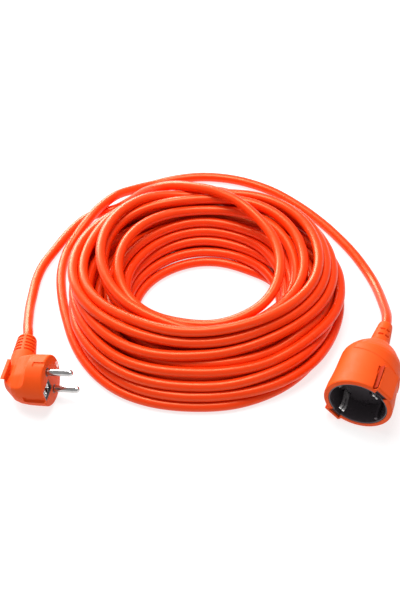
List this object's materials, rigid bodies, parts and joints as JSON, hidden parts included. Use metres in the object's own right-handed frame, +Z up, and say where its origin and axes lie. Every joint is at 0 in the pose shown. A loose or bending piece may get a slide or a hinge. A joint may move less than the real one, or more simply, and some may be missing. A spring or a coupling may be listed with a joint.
{
  "type": "extension cord",
  "caption": "Orange grounded extension lead: a long round cable in a loose coil, a right-angled two-pin plug on one end and a coupler socket on the other.",
  "frame": {"origin": "the middle of the footprint, on the surface that the lead lies on", "axes": "+Z up out of the flat lying coil; +X the way the plug's pins point; the socket's mouth faces -Y"},
  "size_m": [0.2845, 0.2646, 0.0571],
  "materials": {
    "orange_shell": "satin moulded plastic",
    "orange_sheath": "glossy flexible plastic sheath",
    "black_insert": "satin",
    "inner_plastic": "matt",
    "shutter_white": "matt",
    "nickel": "bright nickel plate",
    "contact_brass": "stamped",
    "copper": "stranded wire",
    "core_brown": "satin",
    "core_blue": "satin",
    "core_green": "satin"
  },
  "bodies": {
    "lead": {"plug_body": "orange_shell", "plug_strain_relief": "orange_shell", "plug_bridge": "inner_plastic", "plug_pin_live": "nickel", "plug_pin_neutral": "nickel", "plug_earth_strap": "nickel", "plug_earth_receptacle": "nickel", "plug_crimps": "contact_brass", "plug_strands": "copper", "plug_core_live": "core_brown", "plug_core_neutral": "core_blue", "plug_core_earth": "core_green", "plug_lead": "orange_sheath", "coil": "orange_sheath", "socket_lead": "orange_sheath", "socket_shell": "orange_shell", "socket_strain_relief": "orange_shell", "socket_insert": "black_insert", "socket_contact_block": "inner_plastic", "socket_contact_live": "contact_brass", "socket_contact_neutral": "contact_brass", "socket_earth_clip": "nickel", "socket_shutter_spring": "nickel", "socket_crimps": "contact_brass", "socket_strands": "copper", "socket_core_live": "core_brown", "socket_core_neutral": "core_blue", "socket_core_earth": "core_green"},
    "shutter": {"socket_shutter": "shutter_white"}
  },
  "joints": [
    {"name": "shutter_turn", "type": "hinge", "parent": "lead", "child": "shutter", "pos_m": [0.11482, -0.10226, 0.0251], "axis": [-0.3616, -0.9323, 0], "range_deg": [0, 42], "stiffness_Nm_per_rad": 0.004, "springref_deg": -11.46}
  ]
}
